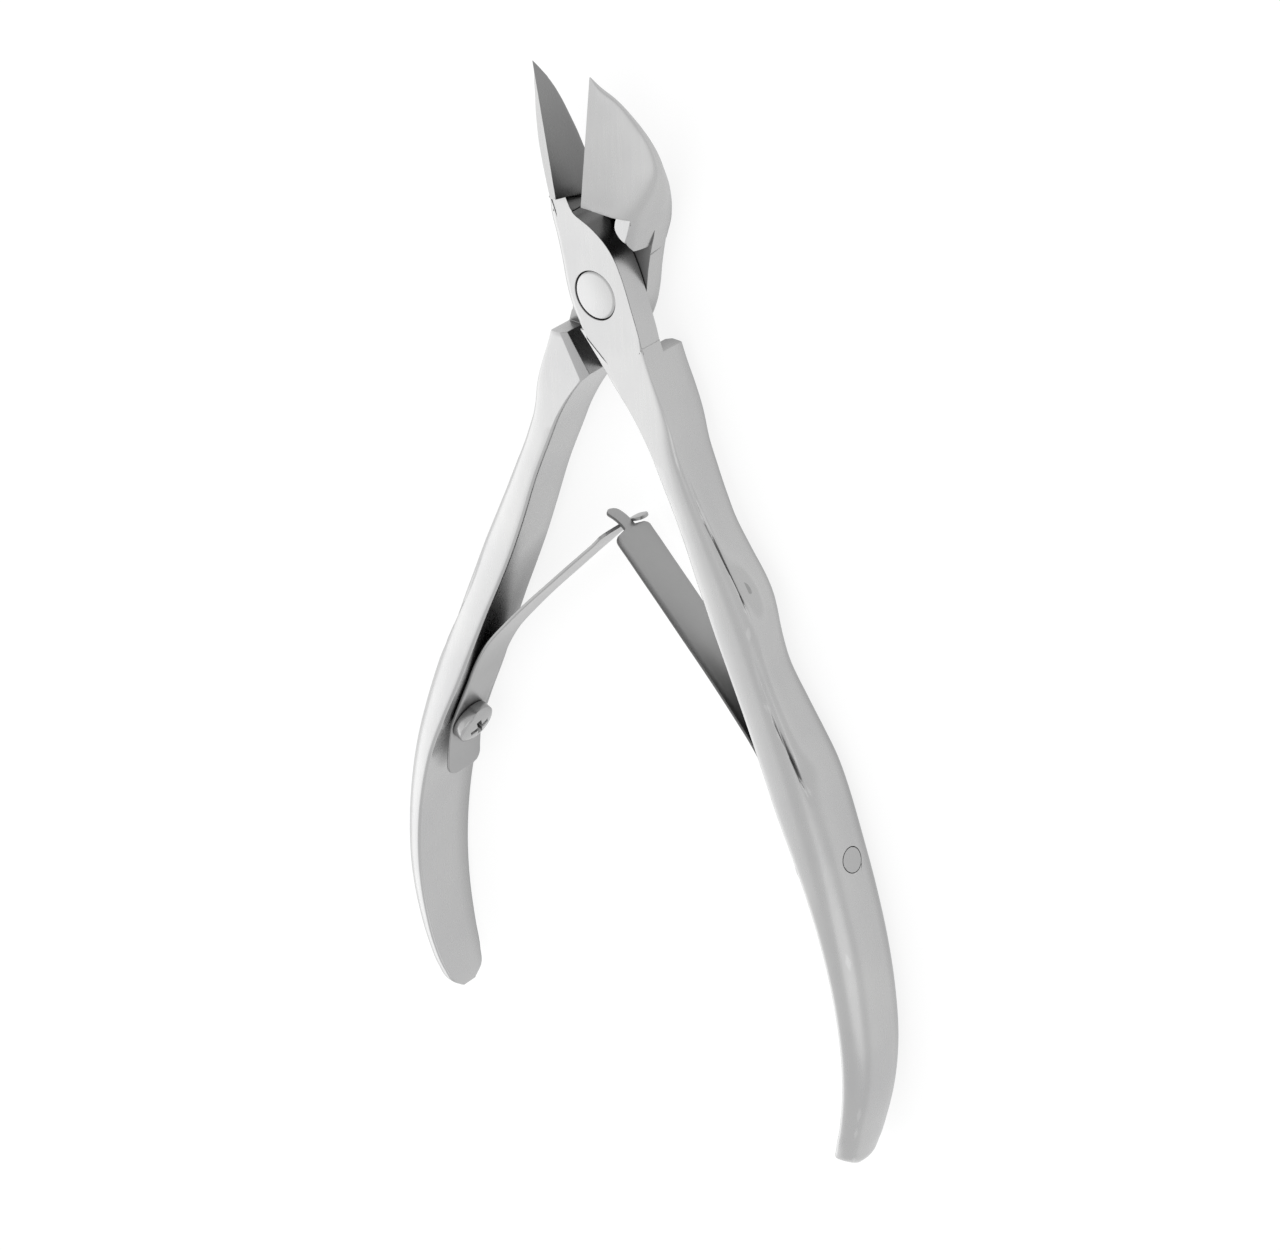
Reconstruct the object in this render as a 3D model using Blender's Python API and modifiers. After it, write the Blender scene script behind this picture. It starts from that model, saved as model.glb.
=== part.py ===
"""Cuticle and nail nipper: two lap-jointed steel arms, a flush pivot pin and two hooked leaf springs.

Frame: the origin is on the pivot axis at the rear face of the joint. +Z runs along the pivot pin towards the
front face, +Y runs from the pivot towards the jaw tips along the bisector of the open arms, and +X is to the
right seen from the front. The nipper is modelled sprung open. The front arm carries the left jaw and the right
handle. The rear arm is its mirror image, with the lap on the rear half of the joint.
"""

import math

import bmesh
import bpy
import numpy as np
from mathutils import Matrix

MM = 0.001

# joint
JOINT_THICKNESS = 5.6 * MM
MID = JOINT_THICKNESS / 2
LAP_GAP = 0.3 * MM
PIN_RADIUS = 2.5 * MM
PIN_GAP = 0.15 * MM
PIN_CHAMFER = 0.12 * MM

# how far the cutters reach past the arms
FRONT_CLEARANCE = 8.5 * MM
REAR_CLEARANCE = 5.0 * MM
HOLE_REACH = 9.0 * MM

# spring screws and leaf springs
SCREW_DOWN = 57.6
SCREW_HEAD_RADIUS = 2.35 * MM
SCREW_HEAD_HEIGHT = 1.75 * MM
SCREW_SHANK_RADIUS = 1.15 * MM
SCREW_HOLE_RADIUS = 1.35 * MM
SCREW_GAP = 0.05 * MM
SCREW_SHANK_LENGTH = 4.1 * MM
RECESS_WIDTH = 0.6 * MM
RECESS_SPAN = 2.5 * MM
RECESS_DEPTH = 0.75 * MM
RECESS_TURN = 0.4
LEAF_THICKNESS = 0.55 * MM
LEAF_WIDTH = 5.0 * MM
LEAF_GAP = 0.1 * MM
TONGUE_WIDTH = 1.8 * MM
WINDOW_WIDTH = 2.6 * MM
WINDOW_LENGTH = 2.4 * MM
WINDOW_REACH = 4.0 * MM
WINDOW_CENTRE = (0.05, -26.85)
WINDOW_SLOPE = math.radians(39.0)

ROUND_STEPS = 48
HOLE_STEPS = 24
SCREW_STEPS = 32
HANDLE_STEPS = 11

# Outlines of the front arm, in millimetres; the handle is on +X and the jaw on -X.
# handle: distance down the arm (-Y), inner edge, outer edge, half width in Z, squareness of the outer side
HANDLE = [
    (4.2, -2.25, 5.75, 2.80, 12.0),
    (7.2, 0.25, 6.80, 2.80, 11.0),
    (9.6, 2.10, 7.80, 2.80, 10.0),
    (12.0, 3.95, 8.70, 2.80, 8.0),
    (15.4, 6.00, 9.60, 2.80, 6.0),
    (18.0, 7.20, 10.75, 2.80, 5.0),
    (22.6, 9.30, 13.00, 2.80, 3.8),
    (28.8, 11.70, 16.15, 2.85, 3.2),
    (33.0, 13.40, 18.25, 2.95, 3.0),
    (37.2, 15.30, 20.25, 3.10, 2.9),
    (41.0, 17.10, 22.05, 3.30, 2.8),
    (46.6, 19.60, 24.60, 3.60, 2.7),
    (51.1, 21.55, 26.55, 3.85, 2.6),
    (56.0, 23.85, 28.40, 4.05, 2.5),
    (60.0, 25.60, 29.70, 4.20, 2.4),
    (66.0, 27.50, 31.20, 4.20, 2.3),
    (72.0, 28.70, 32.10, 4.10, 2.3),
    (78.0, 29.20, 32.45, 3.90, 2.3),
    (83.0, 29.00, 32.00, 3.65, 2.3),
    (87.5, 28.30, 31.00, 3.35, 2.3),
    (90.5, 27.60, 29.90, 2.80, 2.3),
    (92.3, 27.10, 28.90, 2.00, 2.3),
    (93.2, 27.00, 28.20, 1.00, 2.3),
]
# lap: the plate around the pivot, from the jaw's base down its outer side and back up by the other jaw
LAP_OUTLINE = [
    (-3.30, 10.10), (-5.90, 9.10), (-5.70, 7.40), (-5.10, 5.20), (-4.60, 2.80), (-4.20, 0.30), (-3.60, -1.90),
    (-2.55, -3.90), (-1.30, -5.00), (3.00, -8.60), (5.60, -6.60), (5.45, -4.00), (5.05, -1.75), (4.50, -0.05),
    (3.95, 1.70), (3.40, 3.15), (2.85, 4.30), (2.25, 5.20), (1.50, 6.00), (0.60, 6.70), (-0.40, 7.30),
    (-1.45, 7.75), (-2.20, 8.10), (-2.75, 8.60), (-3.10, 9.20),
]
# jaw: height on Y, then (distance outwards from the bisector, Z) of the cutting edge, the bevel's outer edge,
# the widest point, the rear outer edge and the rear spine
JAW = [
    (24.82, (3.58, 8.73), (3.62, 8.70), (3.64, 8.66), (3.62, 8.62), (3.59, 8.64)),
    (23.70, (3.42, 8.73), (3.95, 8.05), (4.05, 7.85), (3.95, 7.70), (3.50, 7.72)),
    (22.10, (3.19, 8.73), (4.85, 7.05), (5.15, 6.75), (4.95, 6.45), (3.40, 6.50)),
    (20.00, (2.89, 8.73), (5.70, 6.15), (6.15, 5.65), (5.90, 5.20), (3.25, 5.30)),
    (18.00, (2.60, 8.73), (6.35, 5.55), (6.98, 4.85), (6.65, 4.25), (3.10, 4.40)),
    (15.90, (2.30, 8.73), (6.70, 5.15), (7.48, 4.15), (7.10, 3.35), (2.90, 3.55)),
    (14.20, (2.05, 8.73), (6.75, 5.05), (7.62, 3.65), (7.20, 2.75), (2.75, 2.95)),
    (12.40, (1.80, 8.73), (6.60, 5.00), (7.35, 3.00), (6.95, 1.90), (2.60, 2.15)),
    (10.97, (1.59, 8.73), (6.35, 5.00), (6.95, 2.40), (6.50, 1.20), (2.50, 1.45)),
    (9.30, (1.45, 8.73), (6.00, 5.20), (6.35, 2.00), (5.95, 0.50), (2.60, 0.60)),
    (7.60, (2.90, 8.60), (5.60, 5.40), (5.80, 2.00), (5.45, 0.15), (2.90, 0.20)),
    (5.60, (3.40, 5.40), (4.90, 5.30), (5.00, 2.00), (4.80, 0.20), (3.40, 0.30)),
]
# pocket: the clearance milled out of the other half of the joint, from the shoulder to the jaw's base
POCKET_OUTLINE = [
    (10.0, -5.45), (4.45, -5.40), (1.90, -9.70), (0.60, -13.5), (-10.0, -13.5), (-10.0, 6.95), (-5.60, 6.90),
    (-4.60, 6.60), (-3.75, 6.75), (-2.95, 7.65), (-2.20, 9.30), (-1.50, 10.85), (-1.20, 12.5), (10.0, 12.5),
]
# heel: what is cleared in front of the joint, below the line under each jaw's bevel
HEEL_OUTLINE = [(0.60, 11.35), (1.59, 10.97), (6.20, 9.30), (9.00, 8.30), (9.00, 0.0), (0.60, 0.0)]
# leaf spring: how far down the arm its foot lies along the handle, then the middle of the free strip
LEAF_FOOT = (64.6, 62.3, 59.9, 57.6, 55.5, 53.4, 51.2, 49.3)
LEAF_FREE = [
    (18.35, -45.90), (15.20, -42.10), (12.00, -38.60), (9.00, -35.50), (6.30, -32.70), (3.90, -30.25),
    (2.30, -28.60),
]
TONGUE_PATH = [
    (3.15, -29.48), (2.30, -28.60), (1.30, -27.75), (0.20, -26.80), (-1.00, -26.15), (-2.20, -25.85),
]
HOOK_PATH = [(-2.30, -28.60), (-1.20, -27.75), (0.00, -26.85), (1.20, -25.95), (2.60, -24.95)]

STEEL = (0.80, 0.80, 0.81, 1.0)


def clear_scene():
    for item in list(bpy.data.objects):
        bpy.data.objects.remove(item, do_unlink=True)


def collection(name):
    made = bpy.data.collections.get(name) or bpy.data.collections.new(name)
    if made.name not in bpy.context.scene.collection.children:
        bpy.context.scene.collection.children.link(made)
    return made


def material(name, colour, roughness, metallic):
    made = bpy.data.materials.get(name) or bpy.data.materials.new(name)
    made.use_nodes = True
    shader = made.node_tree.nodes["Principled BSDF"]
    shader.inputs["Base Color"].default_value = colour
    shader.inputs["Roughness"].default_value = roughness
    shader.inputs["Metallic"].default_value = metallic
    made.diffuse_color = colour
    return made


def add_object(name, mesh, group):
    made = bpy.data.objects.new(name, mesh)
    group.objects.link(made)
    return made


def as_cutter(item):
    item.hide_render = True
    item.display_type = "WIRE"
    return item


def smooth_table(table, stations):
    """Reads the table's columns at the given stations along a smooth curve through its rows."""
    table = np.array(table, float)
    key = table[:, 0]
    slopes = np.gradient(table, key, axis=0)
    rows = []
    for s in stations:
        i = int(np.clip(np.searchsorted(key, s) - 1, 0, len(key) - 2))
        span = key[i + 1] - key[i]
        t = (s - key[i]) / span
        rows.append(
            (2 * t**3 - 3 * t**2 + 1) * table[i]
            + (t**3 - 2 * t**2 + t) * span * slopes[i]
            + (3 * t**2 - 2 * t**3) * table[i + 1]
            + (t**3 - t**2) * span * slopes[i + 1]
        )
    return rows


def plate(name, outline, low, high, group, side=1):
    """A flat outline, in millimetres, filled and given its thickness between two heights in metres."""
    flat = bpy.data.curves.new(name + "_outline", "CURVE")
    flat.dimensions = "2D"
    flat.fill_mode = "BOTH"
    flat.extrude = (high - low) / 2
    line = flat.splines.new("POLY")
    line.points.add(len(outline) - 1)
    for point, (x, y) in zip(line.points, outline):
        point.co = (side * x * MM, y * MM, 0, 1)
    line.use_cyclic_u = True
    guide = add_object(name + "_outline", flat, group)
    guide.location.z = (low + high) / 2
    bpy.context.view_layer.update()
    evaluated = guide.evaluated_get(bpy.context.evaluated_depsgraph_get())
    mesh = bpy.data.meshes.new_from_object(evaluated)
    matrix = guide.matrix_world.copy()
    bpy.data.objects.remove(guide, do_unlink=True)
    cage = bmesh.new()
    cage.from_mesh(mesh)
    bmesh.ops.remove_doubles(cage, verts=cage.verts, dist=0.01 * MM)
    bmesh.ops.recalc_face_normals(cage, faces=cage.faces)
    cage.to_mesh(mesh)
    cage.free()
    made = add_object(name, mesh, group)
    made.matrix_world = matrix
    return made


def loft(name, rings, group):
    """A closed skin through rings of equally many points, in metres."""
    cage = bmesh.new()
    loops = [[cage.verts.new(point) for point in ring] for ring in rings]
    count = len(loops[0])
    for upper, lower in zip(loops, loops[1:]):
        for i in range(count):
            j = (i + 1) % count
            cage.faces.new((upper[i], upper[j], lower[j], lower[i]))
    cage.faces.new(loops[0])
    cage.faces.new(loops[-1])
    bmesh.ops.recalc_face_normals(cage, faces=cage.faces)
    mesh = bpy.data.meshes.new(name)
    cage.to_mesh(mesh)
    cage.free()
    return add_object(name, mesh, group)


def boolean(item, tool, operation):
    step = item.modifiers.new(tool.name, "BOOLEAN")
    step.operation = operation
    step.solver = "EXACT"
    step.object = as_cutter(tool)


def cylinder(name, radius, start, end, group, steps=ROUND_STEPS):
    start = np.array(start, float)
    axis = np.array(end, float) - start
    length = float(np.linalg.norm(axis))
    cage = bmesh.new()
    bmesh.ops.create_cone(
        cage, cap_ends=True, segments=steps, radius1=radius, radius2=radius, depth=length
    )
    mesh = bpy.data.meshes.new(name)
    cage.to_mesh(mesh)
    cage.free()
    made = add_object(name, mesh, group)
    made.location = start + axis / 2
    made.rotation_euler = (0, math.acos(axis[2] / length), math.atan2(axis[1], axis[0]))
    return made


def handle(name, side, group):
    """The handle below the shoulder: a flat inner face and an outer side that turns from square to round."""
    stations = [row[0] for row in HANDLE]
    rings = []
    for down, inner, outer, half, square in smooth_table(HANDLE, stations):
        ring = []
        for angle in np.linspace(math.pi / 2, -math.pi / 2, HANDLE_STEPS):
            across = abs(math.cos(angle)) ** (2 / square)
            up = math.copysign(abs(math.sin(angle)) ** (2 / square), angle)
            across = 0.0 if abs(across) < 1e-6 else across
            x = (inner + (outer - inner) * across) * side * MM
            ring.append((x, -down * MM, MID + half * up * MM))
        rings.append(ring)
    return loft(name, rings, group)


def jaw(name, side, group):
    """The jaw: a sharp inner edge at the front, a bevel to the widest point and a relieved inner face."""
    rings = [[(-side * out * MM, row[0] * MM, up * MM) for out, up in row[1:]] for row in JAW]
    return loft(name, rings, group)


def inner_face_at(down):
    """Where a handle's inner face is at a distance down the arm, and its tangent going down, in millimetres."""
    here = smooth_table(HANDLE, [down])[0][1]
    below = smooth_table(HANDLE, [down + 1])[0][1]
    tangent = np.array([below - here, -1.0])
    return np.array([here, -down]), tangent / np.linalg.norm(tangent)


def screw_axis(side):
    """The point on the inner face under a spring screw, and the direction its head faces, in millimetres."""
    point, tangent = inner_face_at(SCREW_DOWN)
    normal = np.array([tangent[1], -tangent[0]])
    return np.array([side * point[0], point[1], 0.0]), np.array([side * normal[0], normal[1], 0.0])


def arm(name, side, lap_in_front, group, cutters):
    """One arm. side is +1 where the handle is on +X; its lap fills the front or the rear half of the joint."""
    body = handle(name, side, group)
    low, high = (MID + LAP_GAP / 2, JOINT_THICKNESS) if lap_in_front else (0.0, MID - LAP_GAP / 2)
    cleared = (-REAR_CLEARANCE, low) if lap_in_front else (high, JOINT_THICKNESS + FRONT_CLEARANCE)
    boolean(body, plate(name + "_lap", LAP_OUTLINE, low, high, cutters, side), "UNION")
    boolean(body, jaw(name + "_jaw", side, cutters), "UNION")
    boolean(body, plate(name + "_pocket", POCKET_OUTLINE, *cleared, cutters, side), "DIFFERENCE")
    above = (JOINT_THICKNESS, JOINT_THICKNESS + FRONT_CLEARANCE)
    boolean(body, plate(name + "_heel", HEEL_OUTLINE, *above, cutters, -side), "DIFFERENCE")
    bore = cylinder(name + "_bore", PIN_RADIUS + PIN_GAP, (0, 0, -2 * MM), (0, 0, 8 * MM), cutters)
    boolean(body, bore, "DIFFERENCE")
    point, normal = screw_axis(side)
    base = point * MM + np.array([0, 0, MID])
    start = base + normal * HOLE_REACH
    end = base - normal * HOLE_REACH
    hole = cylinder(name + "_tapped_hole", SCREW_HOLE_RADIUS, start, end, cutters, HOLE_STEPS)
    boolean(body, hole, "DIFFERENCE")
    return body


def pivot_pin(group):
    """The flush pin, joint face to joint face."""
    made = cylinder("pivot_pin", PIN_RADIUS, (0, 0, 0), (0, 0, JOINT_THICKNESS), group)
    bevel = made.modifiers.new("chamfer", "BEVEL")
    bevel.width = PIN_CHAMFER
    bevel.segments = 1
    bevel.limit_method = "ANGLE"
    return made


def strip_outline(path, thickness):
    """The outline of a strip of even thickness along a path, in millimetres."""
    path = np.array(path, float)
    along = np.gradient(path, axis=0)
    along /= np.linalg.norm(along, axis=1)[:, None]
    across = np.column_stack([along[:, 1], -along[:, 0]]) * thickness / 2
    return [tuple(p) for p in path + across] + [tuple(p) for p in (path - across)[::-1]]


def leaf_path():
    """The middle of a leaf: its foot flat on the inner face, then the free strip."""
    foot = []
    for down in LEAF_FOOT:
        point, tangent = inner_face_at(down)
        inwards = np.array([tangent[1], -tangent[0]])
        foot.append(tuple(point + inwards * (LEAF_GAP + LEAF_THICKNESS / 2) / MM))
    return foot + LEAF_FREE


def leaf_spring(name, side, group, cutters):
    """One leaf. The right one ends in a narrow tongue, the left one in a window that the tongue passes."""
    half = LEAF_WIDTH / 2
    thickness = LEAF_THICKNESS / MM
    path = leaf_path() if side > 0 else leaf_path() + [(-x, y) for x, y in HOOK_PATH[1:]]
    leaf = plate(name, strip_outline(path, thickness), MID - half, MID + half, group, side)
    point, normal = screw_axis(side)
    base = point * MM + np.array([0, 0, MID])
    reach = normal * 3 * MM
    hole = cylinder(name + "_hole", SCREW_HOLE_RADIUS, base - normal * MM, base + reach, cutters, HOLE_STEPS)
    boolean(leaf, hole, "DIFFERENCE")
    if side > 0:
        narrow = TONGUE_WIDTH / 2
        outline = strip_outline(TONGUE_PATH, thickness)
        tongue = plate(name + "_tongue", outline, MID - narrow, MID + narrow, cutters, side)
        boolean(leaf, tongue, "UNION")
    else:
        narrow = WINDOW_WIDTH / 2
        middle = np.array(WINDOW_CENTRE)
        way = np.array([math.cos(WINDOW_SLOPE), math.sin(WINDOW_SLOPE)])
        along = way * WINDOW_LENGTH / MM / 2
        across = np.array([-way[1], way[0]]) * WINDOW_REACH / MM / 2
        corners = [middle + along + across, middle + along - across, middle - along - across]
        corners.append(middle - along + across)
        window = plate(name + "_window", [tuple(c) for c in corners], MID - narrow, MID + narrow, cutters)
        boolean(leaf, window, "DIFFERENCE")
    return leaf


def spring_screw(name, side, group, cutters):
    """A domed pan-head screw with a cross recess, through the leaf into the handle."""
    point, normal = screw_axis(side)
    reach = LEAF_THICKNESS + 2 * LEAF_GAP + SCREW_GAP
    profile = [
        (0.0, SCREW_HEAD_HEIGHT),
        (0.35 * SCREW_HEAD_RADIUS, 0.97 * SCREW_HEAD_HEIGHT),
        (0.65 * SCREW_HEAD_RADIUS, 0.85 * SCREW_HEAD_HEIGHT),
        (0.88 * SCREW_HEAD_RADIUS, 0.60 * SCREW_HEAD_HEIGHT),
        (SCREW_HEAD_RADIUS, 0.25 * SCREW_HEAD_HEIGHT),
        (SCREW_HEAD_RADIUS, 0.0),
        (SCREW_SHANK_RADIUS, 0.0),
        (SCREW_SHANK_RADIUS, -reach - SCREW_SHANK_LENGTH),
        (0.0, -reach - SCREW_SHANK_LENGTH),
    ]
    line = bpy.data.meshes.new(name)
    line.from_pydata([(x, 0, z) for x, z in profile], [(i, i + 1) for i in range(len(profile) - 1)], [])
    screw = add_object(name, line, group)
    turn = screw.modifiers.new("turned", "SCREW")
    turn.steps = SCREW_STEPS
    turn.render_steps = SCREW_STEPS
    turn.use_merge_vertices = True
    turn.merge_threshold = 0.00001
    turn.use_smooth_shade = True
    screw.location = point * MM + np.array([0, 0, MID]) + normal * reach
    screw.rotation_euler = (0, math.pi / 2, math.atan2(normal[1], normal[0]))
    for number, roll in enumerate((RECESS_TURN, RECESS_TURN + math.pi / 2)):
        cage = bmesh.new()
        bmesh.ops.create_cube(cage, size=1.0)
        bmesh.ops.scale(cage, vec=(RECESS_SPAN, RECESS_WIDTH, 2 * RECESS_DEPTH), verts=cage.verts)
        bmesh.ops.rotate(cage, cent=(0, 0, 0), matrix=Matrix.Rotation(roll, 3, "Z"), verts=cage.verts)
        bmesh.ops.translate(cage, vec=(0, 0, SCREW_HEAD_HEIGHT), verts=cage.verts)
        mesh = bpy.data.meshes.new(f"{name}_recess_{number}")
        cage.to_mesh(mesh)
        cage.free()
        slot = add_object(mesh.name, mesh, cutters)
        slot.location = screw.location
        slot.rotation_euler = screw.rotation_euler
        boolean(screw, slot, "DIFFERENCE")
    return screw


def main():
    clear_scene()
    group = collection("cuticle_nipper")
    cutters = collection("cutters")
    pieces = [
        (arm("front_arm", 1, True, group, cutters), material("arm_steel", STEEL, 0.28, 1.0)),
        (arm("rear_arm", -1, False, group, cutters), material("rear_arm_steel", STEEL, 0.28, 1.0)),
        (pivot_pin(group), material("pin_steel", (0.82, 0.82, 0.83, 1.0), 0.25, 1.0)),
    ]
    for label, side in (("right", 1), ("left", -1)):
        leaf = leaf_spring(label + "_leaf_spring", side, group, cutters)
        pieces.append((leaf, material(label + "_spring_steel", (0.60, 0.60, 0.61, 1.0), 0.3, 1.0)))
        screw = spring_screw(label + "_spring_screw", side, group, cutters)
        pieces.append((screw, material(label + "_screw_steel", (0.70, 0.70, 0.70, 1.0), 0.3, 1.0)))
    for item, finish in pieces:
        item.data.materials.clear()
        item.data.materials.append(finish)


main()
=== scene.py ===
import math

import bmesh
import bpy
import numpy as np
from mathutils import Matrix, Vector
from mathutils.bvhtree import BVHTree


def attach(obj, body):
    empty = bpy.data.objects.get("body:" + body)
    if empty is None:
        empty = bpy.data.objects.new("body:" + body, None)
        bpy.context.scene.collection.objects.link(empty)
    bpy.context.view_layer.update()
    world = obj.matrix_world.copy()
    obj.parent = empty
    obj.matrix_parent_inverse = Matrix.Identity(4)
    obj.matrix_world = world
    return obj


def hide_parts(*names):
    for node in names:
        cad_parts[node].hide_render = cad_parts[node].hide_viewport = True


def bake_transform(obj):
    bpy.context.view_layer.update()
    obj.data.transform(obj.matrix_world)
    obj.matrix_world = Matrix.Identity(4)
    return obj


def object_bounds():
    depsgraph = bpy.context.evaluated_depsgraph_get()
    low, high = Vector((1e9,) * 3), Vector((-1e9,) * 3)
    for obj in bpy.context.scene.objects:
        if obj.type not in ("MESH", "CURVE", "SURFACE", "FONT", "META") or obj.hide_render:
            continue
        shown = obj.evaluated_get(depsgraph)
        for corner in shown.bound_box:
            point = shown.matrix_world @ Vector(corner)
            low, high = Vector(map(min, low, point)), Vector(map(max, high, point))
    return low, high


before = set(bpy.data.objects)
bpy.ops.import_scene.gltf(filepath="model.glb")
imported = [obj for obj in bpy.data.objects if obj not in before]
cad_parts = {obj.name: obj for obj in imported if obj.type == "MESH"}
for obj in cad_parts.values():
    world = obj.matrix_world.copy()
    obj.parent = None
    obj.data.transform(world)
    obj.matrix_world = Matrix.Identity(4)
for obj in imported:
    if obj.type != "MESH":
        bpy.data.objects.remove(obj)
CAD_LOW, CAD_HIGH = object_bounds()

# Everything below is shaped in millimetres and scaled to metres when a piece is finished.
MM = 0.001

JOINT = 5.6
MID = JOINT / 2
EDGE_HEIGHT = 8.73
LAP_GAP = 0.06
PIN_RADIUS = 2.5
PIN_GAP = 0.09
SCREW_DOWN = 57.6
SCREW_HEAD_RADIUS = 2.4
SCREW_HEAD_HEIGHT = 1.75
SCREW_SHANK_RADIUS = 1.3
SCREW_SHANK_LENGTH = 6.6
SCREW_HOLE_RADIUS = 1.36
RECESS_TURN = 0.4
LEAF_THICKNESS = 0.34
LEAF_WIDTH = 5.0
LEAF_GAP = 0.20
# the strip narrows over NECK_LENGTH, this far before its end, to a tongue in the middle or a tab at one side
TONGUE_LENGTH = 3.9
TAB_LENGTH = 3.4
NECK_LENGTH = 0.9
TONGUE_REACH = 0.75
TAB_TOP = -0.7
TIP_RADIUS = 0.75
TIP_SHARE = 0.12
EDGE_ROUND = 0.07
FOOT_CORNER = 1.3
# the groove's wall and the end of the scoop's steep part, as shares of the way from its crease to its ridge
WALL = 0.10
WALL_END = 0.2
# edges that stay sharp: those above a height, those beyond a Y, and those at the lap's corner with its jaw,
# given as the least distance from the middle, the least Y and the highest Z
SHARP_ABOVE = 8.6
SHARP_BEYOND = 22.5
LAP_CORNER = (4.0, 4.5, 5.4)

# handle: distance down the arm, inner edge, outer edge, half width in Z, and how square the outer side is
# towards the front and towards the rear
HANDLE = [
    (4.2, -2.25, 5.75, 2.80, 60.0, 60.0),
    (7.2, 0.25, 6.80, 2.80, 50.0, 50.0),
    (9.6, 2.10, 7.80, 2.80, 30.0, 40.0),
    (12.0, 3.95, 8.70, 2.80, 14.0, 25.0),
    (15.4, 6.00, 9.60, 2.80, 7.0, 16.0),
    (18.0, 7.20, 10.75, 2.80, 5.0, 12.0),
    (22.6, 9.30, 13.00, 2.80, 3.8, 8.0),
    (28.8, 11.70, 16.15, 2.85, 3.2, 7.0),
    (33.0, 13.40, 18.25, 2.95, 3.0, 5.0),
    (37.2, 15.30, 20.25, 3.10, 2.9, 4.3),
    (41.0, 17.10, 22.05, 3.30, 2.8, 5.0),
    (46.6, 19.60, 24.60, 3.60, 2.7, 5.0),
    (51.1, 21.55, 26.55, 3.85, 2.6, 4.0),
    (56.0, 23.85, 28.40, 4.05, 2.5, 3.0),
    (60.0, 25.60, 29.70, 4.20, 2.4, 2.5),
    (66.0, 27.50, 31.20, 4.20, 2.3, 2.3),
    (72.0, 28.70, 32.10, 4.10, 2.3, 2.3),
    (78.0, 29.20, 32.45, 3.90, 2.3, 2.3),
    (83.0, 29.00, 32.00, 3.65, 2.3, 2.3),
    (87.5, 28.30, 31.00, 3.35, 2.3, 2.3),
    (90.5, 27.45, 30.20, 2.90, 2.3, 2.3),
    (92.3, 26.90, 29.50, 2.20, 2.3, 2.3),
    (93.2, 26.80, 28.70, 1.10, 2.3, 2.3),
]
# finger scoops on the outer side: distance down, hollow behind the ridge, groove depth, then the heights of
# the crease and the ridge as shares of the half width
SCOOPS = [
    (4.0, 0.00, 0.00, 0.80, -0.25),
    (12.0, 0.00, 0.00, 0.80, -0.25),
    (16.0, 0.08, 0.02, 0.80, -0.25),
    (20.5, 0.34, 0.12, 0.76, -0.27),
    (22.6, 0.40, 0.20, 0.70, -0.28),
    (25.8, -0.15, 0.45, 0.61, -0.30),
    (28.6, -0.70, 0.55, 0.53, -0.30),
    (30.0, -0.70, 0.20, 0.52, -0.30),
    (31.4, -0.45, 0.00, 0.56, -0.28),
    (33.5, 0.10, 0.00, 0.80, -0.25),
    (37.2, 0.75, 0.10, 0.88, -0.20),
    (41.0, 0.55, 0.26, 0.84, -0.20),
    (44.0, 0.10, 0.42, 0.78, -0.20),
    (46.4, -0.25, 0.52, 0.73, -0.20),
    (47.8, -0.28, 0.16, 0.71, -0.20),
    (49.2, -0.24, 0.02, 0.70, -0.22),
    (53.5, -0.05, 0.00, 0.70, -0.25),
    (57.0, 0.00, 0.00, 0.70, -0.25),
    (94.0, 0.00, 0.00, 0.70, -0.25),
]
# runs of the lap's outline; each run is a smooth curve and they meet in corners
LAP_RUNS = [
    [(-3.25, 9.85), (-4.60, 9.50), (-5.75, 9.10)],
    [(-5.75, 9.10), (-5.65, 7.40), (-5.10, 5.20), (-4.60, 2.80), (-4.20, 0.30), (-3.60, -1.90),
     (-2.55, -3.90), (-1.30, -5.00)],
    [(-1.30, -5.00), (3.00, -8.60)],
    [(3.00, -8.60), (4.60, -6.00), (5.72, -4.25)],
    [(5.72, -4.25), (5.42, -3.00), (5.00, -1.60), (4.50, -0.05), (3.95, 1.70), (3.40, 3.15), (2.85, 4.30),
     (2.25, 5.20), (1.50, 6.00), (0.60, 6.70), (-0.40, 7.30), (-1.45, 7.75), (-2.20, 8.10), (-2.75, 8.70),
     (-3.20, 9.45), (-3.25, 9.85)],
]
LAP_ROUND = 1.0
POCKET_RUNS = [
    [(10.0, -5.45), (4.45, -5.40)],
    [(4.45, -5.40), (1.90, -9.70)],
    [(1.90, -9.70), (0.60, -13.5)],
    [(0.60, -13.5), (-10.0, -13.5)],
    [(-10.0, -13.5), (-10.0, 6.95)],
    [(-10.0, 6.95), (-5.60, 6.90)],
    [(-5.60, 6.90), (-4.60, 6.66), (-3.89, 6.82), (-3.25, 7.35), (-2.97, 7.90), (-3.05, 8.60), (-3.35, 9.40)],
    [(-3.35, 9.40), (-2.90, 10.00), (-2.30, 10.50), (-1.50, 10.90)],
    [(-1.50, 10.90), (-1.20, 12.5)],
    [(-1.20, 12.5), (10.0, 12.5)],
]
# root: what joins the rear lap to its jaw behind the front lap
REAR_ROOT = [
    (1.60, 5.60), (-2.40, 7.60), (-3.40, 9.20), (-2.90, 9.90), (-1.20, 8.90), (0.40, 8.10), (1.50, 6.90),
]
# heel: the space in front of each lap below the jaw, at the lap's front face and at the cutting edge's height
HEEL_LOW = [(0.60, 10.70), (1.95, 10.23), (6.20, 8.90), (9.00, 8.00), (9.00, 0.0), (0.60, 0.0)]
HEEL_HIGH = [(0.60, 11.35), (1.59, 10.97), (6.20, 9.30), (9.00, 8.30), (9.00, 0.0), (0.60, 0.0)]
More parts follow.
